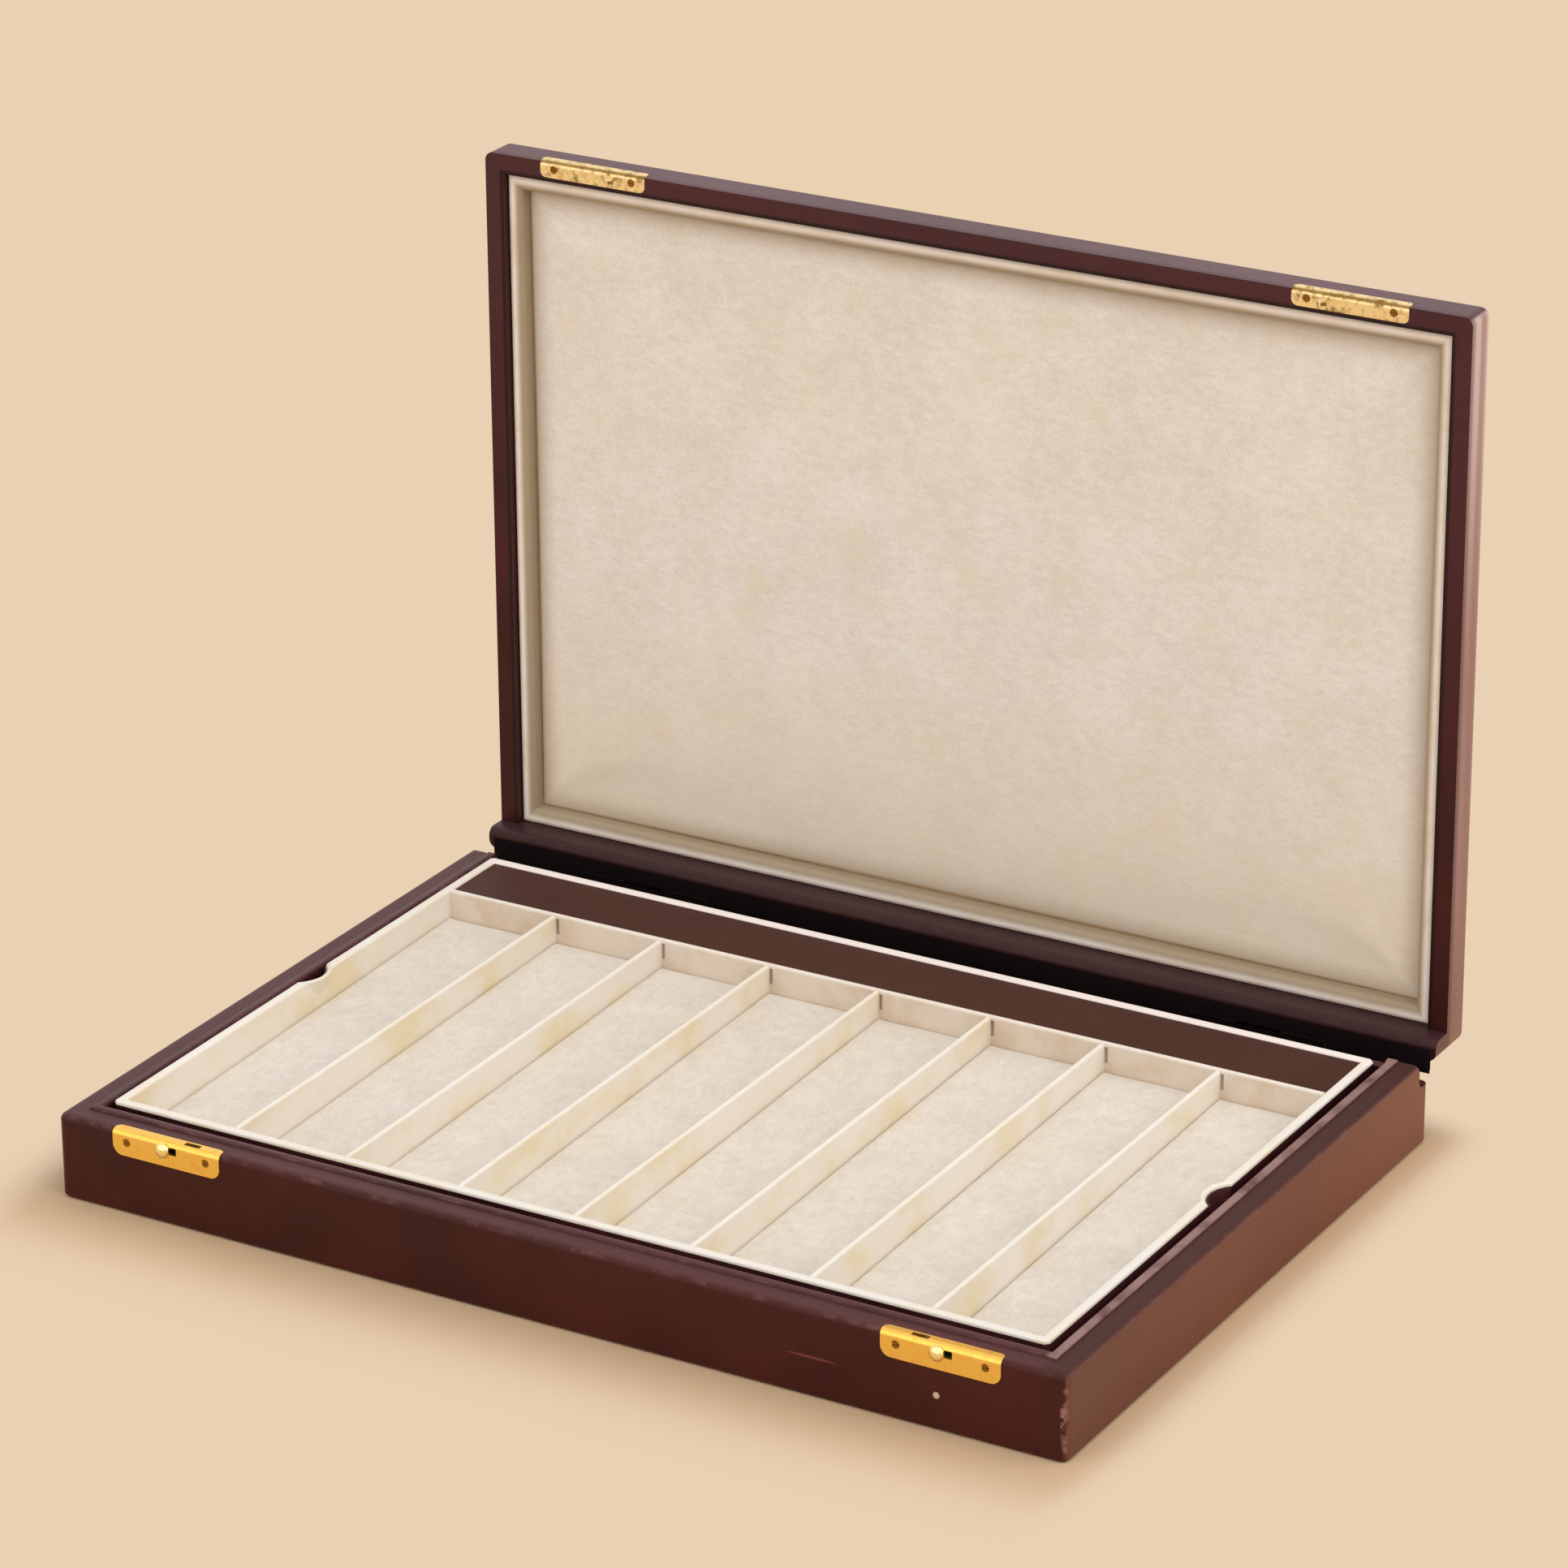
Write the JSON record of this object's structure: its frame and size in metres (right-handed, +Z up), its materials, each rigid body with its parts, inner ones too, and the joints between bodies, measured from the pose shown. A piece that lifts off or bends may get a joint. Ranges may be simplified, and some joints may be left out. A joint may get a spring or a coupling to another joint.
{
  "type": "watch display tray",
  "caption": "Flat leather-covered watch case with a lid standing open on stop hinges, sliding latches and a lift-out tray of lined compartments.",
  "frame": {"origin": "centre of the flat underside of the base", "axes": "+Z up, -Y towards the front with the latches, +X to the right seen from the front"},
  "size_m": [0.37, 0.2861, 0.2828],
  "materials": {
    "burgundy_leather": "semi-gloss grained leather, dark burgundy brown",
    "cream_lining": "cream smooth suede-like lining on the rims and dividers",
    "cream_suede": "soft napped suede cloth",
    "carcase_board": "unfinished fibreboard",
    "polished_brass": "polished",
    "blackened_brass": "blackened, dull",
    "spring_steel": "bright drawn steel",
    "underside_cloth": "dark felt"
  },
  "bodies": {
    "base": {"base_cover": "burgundy_leather", "base_carcase": "carcase_board", "base_bottom_board": "carcase_board", "base_underside_cover": "underside_cloth", "base_collar": "burgundy_leather", "well_lining": "burgundy_leather", "latch_plate_left": "polished_brass", "latch_plate_right": "polished_brass", "latch_case_left": "spring_steel", "latch_case_right": "spring_steel", "latch_spring_left": "spring_steel", "latch_spring_right": "spring_steel", "latch_screws": "polished_brass", "hinge_base_leaf_left": "blackened_brass", "hinge_base_leaf_right": "blackened_brass", "hinge_pin_left": "spring_steel", "hinge_pin_right": "spring_steel", "hinge_base_screws": "blackened_brass"},
    "lid": {"lid_cover": "burgundy_leather", "lid_carcase": "carcase_board", "lid_rim_frame": "cream_lining", "lid_backing_board": "carcase_board", "lid_panel": "cream_suede", "lid_joint_strip": "underside_cloth", "catch_plate_left": "polished_brass", "catch_plate_right": "polished_brass", "catch_hook_left": "polished_brass", "catch_hook_right": "polished_brass", "catch_screws": "polished_brass", "hinge_lid_leaf_left": "blackened_brass", "hinge_lid_leaf_right": "blackened_brass", "hinge_lid_screws": "blackened_brass"},
    "tray": {"tray_board": "carcase_board", "tray_floor": "carcase_board", "tray_frame": "cream_lining", "tray_outer_band": "burgundy_leather", "tray_scoop_left": "cream_lining", "tray_scoop_right": "cream_lining", "tray_ledge_wall": "cream_lining", "tray_ledge_board": "carcase_board", "tray_ledge_leather": "burgundy_leather", "tray_divider_1": "cream_lining", "tray_divider_2": "cream_lining", "tray_divider_3": "cream_lining", "tray_divider_4": "cream_lining", "tray_divider_5": "cream_lining", "tray_divider_6": "cream_lining", "tray_divider_7": "cream_lining", "tray_pad_1": "cream_suede", "tray_pad_2": "cream_suede", "tray_pad_3": "cream_suede", "tray_pad_4": "cream_suede", "tray_pad_5": "cream_suede", "tray_pad_6": "cream_suede", "tray_pad_7": "cream_suede", "tray_pad_8": "cream_suede"},
    "left_latch_slider": {"latch_slider_left": "spring_steel", "latch_knob_left": "polished_brass"},
    "right_latch_slider": {"latch_slider_right": "spring_steel", "latch_knob_right": "polished_brass"}
  },
  "joints": [
    {"name": "lid_hinge", "type": "hinge", "parent": "base", "child": "lid", "pos_m": [0, 0.1328, 0.02155], "axis": [1, 0, 0], "range_deg": [0, 90]},
    {"name": "tray_lift", "type": "slide", "parent": "base", "child": "tray", "axis": [0, 0, 1], "range_m": [0, 0.08]},
    {"name": "latch_left", "type": "slide", "parent": "base", "child": "left_latch_slider", "axis": [1, 0, 0], "range_m": [0, 0.002], "stiffness_N_per_m": 300, "springref_m": -0.004, "deforming": ["latch_spring_left"]},
    {"name": "latch_right", "type": "slide", "parent": "base", "child": "right_latch_slider", "axis": [1, 0, 0], "range_m": [0, 0.002], "stiffness_N_per_m": 300, "springref_m": -0.004, "deforming": ["latch_spring_right"]}
  ]
}
